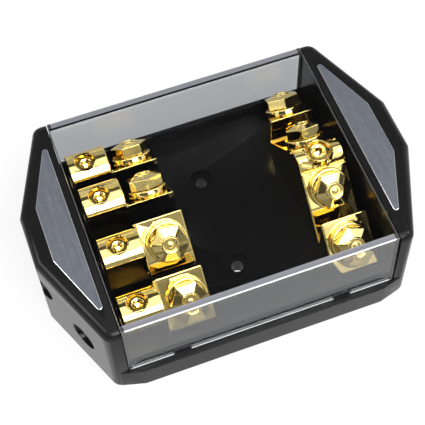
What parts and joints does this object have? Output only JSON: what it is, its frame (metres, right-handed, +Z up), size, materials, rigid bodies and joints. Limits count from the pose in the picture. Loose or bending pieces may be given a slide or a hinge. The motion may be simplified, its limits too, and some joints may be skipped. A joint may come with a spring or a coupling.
{
  "type": "power distribution block",
  "caption": "Fused power distribution block: an input clamp on a common bus bar, fused outputs on sloping gold pads, under a clear lift-off cover.",
  "frame": {"origin": "middle of the underside", "axes": "+X from the output end to the input end, +Y to the back, +Z up"},
  "size_m": [0.1386, 0.0958, 0.0385],
  "materials": {
    "black_plastic": "satin black moulded plastic",
    "clear_plastic": "clear moulded polycarbonate, faintly smoky",
    "trim_metal": "satin aluminium with a bright bevelled edge",
    "gold_plate": "polished gold plating",
    "screw_steel": "zinc-plated steel"
  },
  "bodies": {
    "case": {"base": "black_plastic", "inlay_left": "trim_metal", "inlay_right": "trim_metal", "terminal_1": "gold_plate", "terminal_2": "gold_plate", "terminal_3": "gold_plate", "terminal_4": "gold_plate", "bus_bar": "gold_plate", "washer_left_1": "gold_plate", "washer_left_2": "gold_plate", "washer_left_3": "gold_plate", "washer_left_4": "gold_plate", "washer_right_1": "gold_plate", "washer_right_2": "gold_plate", "washer_right_3": "gold_plate", "washer_right_4": "gold_plate", "terminal_fixing_1": "screw_steel", "terminal_fixing_2": "screw_steel", "terminal_fixing_3": "screw_steel", "terminal_fixing_4": "screw_steel", "bus_fixing_1": "screw_steel", "bus_fixing_2": "screw_steel"},
    "cover": {"cover": "clear_plastic"},
    "bolt_left_1": {"bolt_left_1": "gold_plate"},
    "bolt_right_1": {"bolt_right_1": "gold_plate"},
    "bolt_left_2": {"bolt_left_2": "gold_plate"},
    "bolt_right_2": {"bolt_right_2": "gold_plate"},
    "bolt_left_3": {"bolt_left_3": "gold_plate"},
    "bolt_right_3": {"bolt_right_3": "gold_plate"},
    "bolt_left_4": {"bolt_left_4": "gold_plate"},
    "bolt_right_4": {"bolt_right_4": "gold_plate"},
    "clamp_screw_1": {"clamp_screw_1": "gold_plate"},
    "clamp_screw_2": {"clamp_screw_2": "gold_plate"},
    "clamp_screw_3": {"clamp_screw_3": "gold_plate"},
    "clamp_screw_4": {"clamp_screw_4": "gold_plate"},
    "input_clamp_screw": {"input_clamp_screw": "gold_plate"}
  },
  "joints": [
    {"name": "cover_lift", "type": "slide", "parent": "case", "child": "cover", "axis": [0, 0, 1], "range_m": [0, 0.045]},
    {"name": "bolt_left_1_out", "type": "slide", "parent": "case", "child": "bolt_left_1", "axis": [0, 0.7071, 0.7071], "range_m": [0, 0.0012]},
    {"name": "bolt_right_1_out", "type": "slide", "parent": "case", "child": "bolt_right_1", "axis": [0, 0.7071, 0.7071], "range_m": [0, 0.0012]},
    {"name": "bolt_left_2_out", "type": "slide", "parent": "case", "child": "bolt_left_2", "axis": [0, 0.7071, 0.7071], "range_m": [0, 0.0012]},
    {"name": "bolt_right_2_out", "type": "slide", "parent": "case", "child": "bolt_right_2", "axis": [0, 0.7071, 0.7071], "range_m": [0, 0.0012]},
    {"name": "bolt_left_3_out", "type": "slide", "parent": "case", "child": "bolt_left_3", "axis": [0, -0.7071, 0.7071], "range_m": [0, 0.0012]},
    {"name": "bolt_right_3_out", "type": "slide", "parent": "case", "child": "bolt_right_3", "axis": [0, -0.7071, 0.7071], "range_m": [0, 0.0012]},
    {"name": "bolt_left_4_out", "type": "slide", "parent": "case", "child": "bolt_left_4", "axis": [0, -0.7071, 0.7071], "range_m": [0, 0.0012]},
    {"name": "bolt_right_4_out", "type": "slide", "parent": "case", "child": "bolt_right_4", "axis": [0, -0.7071, 0.7071], "range_m": [0, 0.0012]},
    {"name": "clamp_screw_1_turn_in", "type": "slide", "parent": "case", "child": "clamp_screw_1", "axis": [0, 0, 1], "range_m": [-0.005, 0.0015]},
    {"name": "clamp_screw_2_turn_in", "type": "slide", "parent": "case", "child": "clamp_screw_2", "axis": [0, 0, 1], "range_m": [-0.005, 0.0015]},
    {"name": "clamp_screw_3_turn_in", "type": "slide", "parent": "case", "child": "clamp_screw_3", "axis": [0, 0, 1], "range_m": [-0.005, 0.0015]},
    {"name": "clamp_screw_4_turn_in", "type": "slide", "parent": "case", "child": "clamp_screw_4", "axis": [0, 0, 1], "range_m": [-0.005, 0.0015]},
    {"name": "input_clamp_screw_turn_in", "type": "slide", "parent": "case", "child": "input_clamp_screw", "axis": [0, 0, 1], "range_m": [-0.005, 0.0015]}
  ]
}
